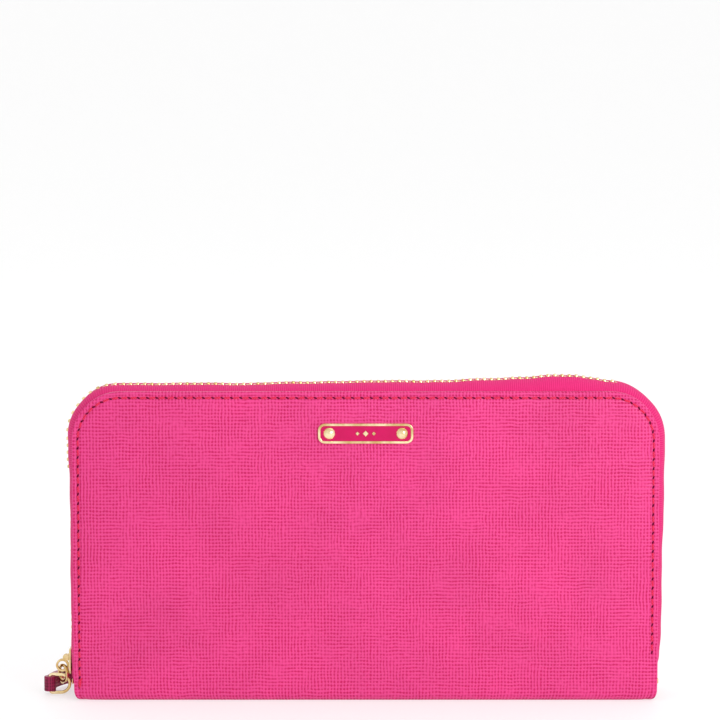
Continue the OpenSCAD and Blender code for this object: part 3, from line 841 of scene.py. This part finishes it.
# the cut edges above and below are painted
wrist_strap.data.materials.append(edge_paint)
for face in wrist_strap.data.polygons:
    if abs(face.normal.z) > 0.6:
        face.material_index = 1
from_node("strap_stud", "hand_strap_stud", "strap", pale_gold, 0.2, 2)

# ---------------------------------------------------------------- linings and stiffeners
# Foam and board stiffen each cover behind the hide. A twill lining covers the board, and a
# narrow board and lining floor run along the spine.

lining_twill, tree, shader = new_finish("lining_twill", srgb(150, 24, 74), 0.75, specular=0.25)
shader.inputs["Sheen Weight"].default_value = 0.2
place = step(tree, "TexCoord", {}).outputs["Object"]
rib = step(tree, "TexWave", {"Vector": place, "Scale": 420, "Distortion": 0.5}, bands_direction="DIAGONAL")
raise_by(tree, shader, rib.outputs["Fac"], 0.6, 0.08 * MM)
lining_colour = two_tone(tree, rib.outputs["Fac"], srgb(126, 12, 58), srgb(168, 34, 88))
tree.links.new(lining_colour, shader.inputs["Base Color"])

core_board, tree, shader = new_finish("core_board", srgb(176, 158, 128), 0.85)
place = step(tree, "TexCoord", {}).outputs["Object"]
fibre = step(tree, "TexNoise", {"Vector": place, "Scale": 1500, "Detail": 5})
raise_by(tree, shader, fibre.outputs["Fac"], 0.4, 0.05 * MM)
board_colour = two_tone(tree, fibre.outputs["Fac"], srgb(150, 132, 104), srgb(196, 180, 150))
tree.links.new(board_colour, shader.inputs["Base Color"])

thin_foam, tree, shader = new_finish("thin_foam", srgb(232, 224, 206), 0.9)
place = step(tree, "TexCoord", {}).outputs["Object"]
cells = step(tree, "TexVoronoi", {"Vector": place, "Scale": 2600})
raise_by(tree, shader, cells.outputs["Distance"], 0.5, 0.1 * MM)
foam_colour = two_tone(tree, cells.outputs["Distance"], srgb(214, 204, 184), srgb(240, 234, 220))
tree.links.new(foam_colour, shader.inputs["Base Color"])

from_node("spine_lining", "floor_lining", "wallet_core", lining_twill, 0.2)
from_node("spine_board", "floor_board", "wallet_core", core_board, 0.1)
for half in ("front", "back"):
    cover = half + "_cover"
    from_node(half + "_lining", half + "_lining_twill", cover, lining_twill, 0.15)
    from_node(half + "_board", half + "_stiffener", cover, core_board, 0.05)
    from_node(half + "_foam", half + "_padding", cover, thin_foam, 0.05)

# ---------------------------------------------------------------- card pockets
# Each cover has two columns of four stepped card pockets in thin smooth leather, sewn down
# the middle and along both sides. Every top edge is turned and rounded.

inner_leather = cross_grain(
    "inner_leather", srgb(196, 30, 94), srgb(220, 56, 122), 0.55 * MM, 0.05 * MM
)

POCKET_SEAM_Y = 6.98 * MM
POCKET_SEAMS_X = (-86 * MM, -2.2 * MM, 2.2 * MM, 86 * MM)
INNER_PITCH = 3 * MM
INNER_SEAM_LOW = 5.5 * MM
for half, side in (("front", -1), ("back", 1)):
    cover = half + "_cover"
    from_node(half + "_card_base", half + "_card_panel", cover, inner_leather, 0.25, 3)
    for number in range(1, 5):
        node = f"{half}_card_pocket_{number}"
        from_node(node, f"{half}_pocket_{number}", cover, inner_leather, 0.18, 3)
    pocket_seams = []
    upright = Matrix.Rotation(math.pi / 2, 4, "Y")
    facing_in = Matrix.Rotation(math.pi if side < 0 else 0, 4, "X")
    for x in POCKET_SEAMS_X:
        for i in range(13):
            spot = (x, side * POCKET_SEAM_Y, INNER_SEAM_LOW + i * INNER_PITCH)
            pocket_seams.append(Matrix.Translation(spot) @ upright @ facing_in)
    seam = lay(stitch, pocket_seams, half + "_pocket_stitches")
    dress(seam, thread)
    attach(seam, cover)

# ---------------------------------------------------------------- bill gussets
# Thin leather folded into a V closes each end of the two bill compartments, and lets the
# covers open.

for half, side in (("front", -1), ("back", 1)):
    for end in ("left", "right"):
        gusset = from_node(
            f"gusset_{half}_{end}", f"{half}_{end}_gusset", None, inner_leather, 0.1
        )
        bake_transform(gusset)

# ---------------------------------------------------------------- coin pocket
# A lined pocket stands in the middle on the spine. It has its own small zipper along the
# top, with a slider and a flat pull.

COIN_SEAM_X = 82.5 * MM
COIN_FACE_Y = -2.82 * MM
from_node("coin_pocket_front", "coin_wall_front", "wallet_core", inner_leather, 0.18, 3)
from_node("coin_pocket_back", "coin_wall_back", "wallet_core", inner_leather, 0.18, 3)
from_node("coin_pocket_gusset", "coin_side_gusset", "wallet_core", lining_twill, 0.15)
from_node("coin_zip_tape", "coin_tape", "wallet_core", lining_twill, 0.1)
from_node("coin_zip_teeth", "coin_teeth", "wallet_core", brass, 0.12, 1)
from_node("coin_zip_stops", "coin_stops", "wallet_core", brass, 0.15)
from_node("coin_slider", "coin_zipper_slider", "coin_zip_slider", pale_gold, 0.2)
from_node("coin_pull", "coin_zipper_pull", "coin_zip_pull", pale_gold, 0.2)
coin_seams = []
for x in (-COIN_SEAM_X, COIN_SEAM_X):
    for i in range(24):
        spot = (x, COIN_FACE_Y, INNER_SEAM_LOW + i * INNER_PITCH)
        coin_seams.append(Matrix.Translation(spot) @ Matrix.Rotation(math.pi / 2, 4, "Y"))
coin_front_stitches = lay(stitch, coin_seams, "coin_front_stitches")
coin_back_stitches = mirrored(coin_front_stitches, "coin_back_stitches")
for seam in (coin_front_stitches, coin_back_stitches):
    dress(seam, thread)
    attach(seam, "wallet_core")
discard(stitch)
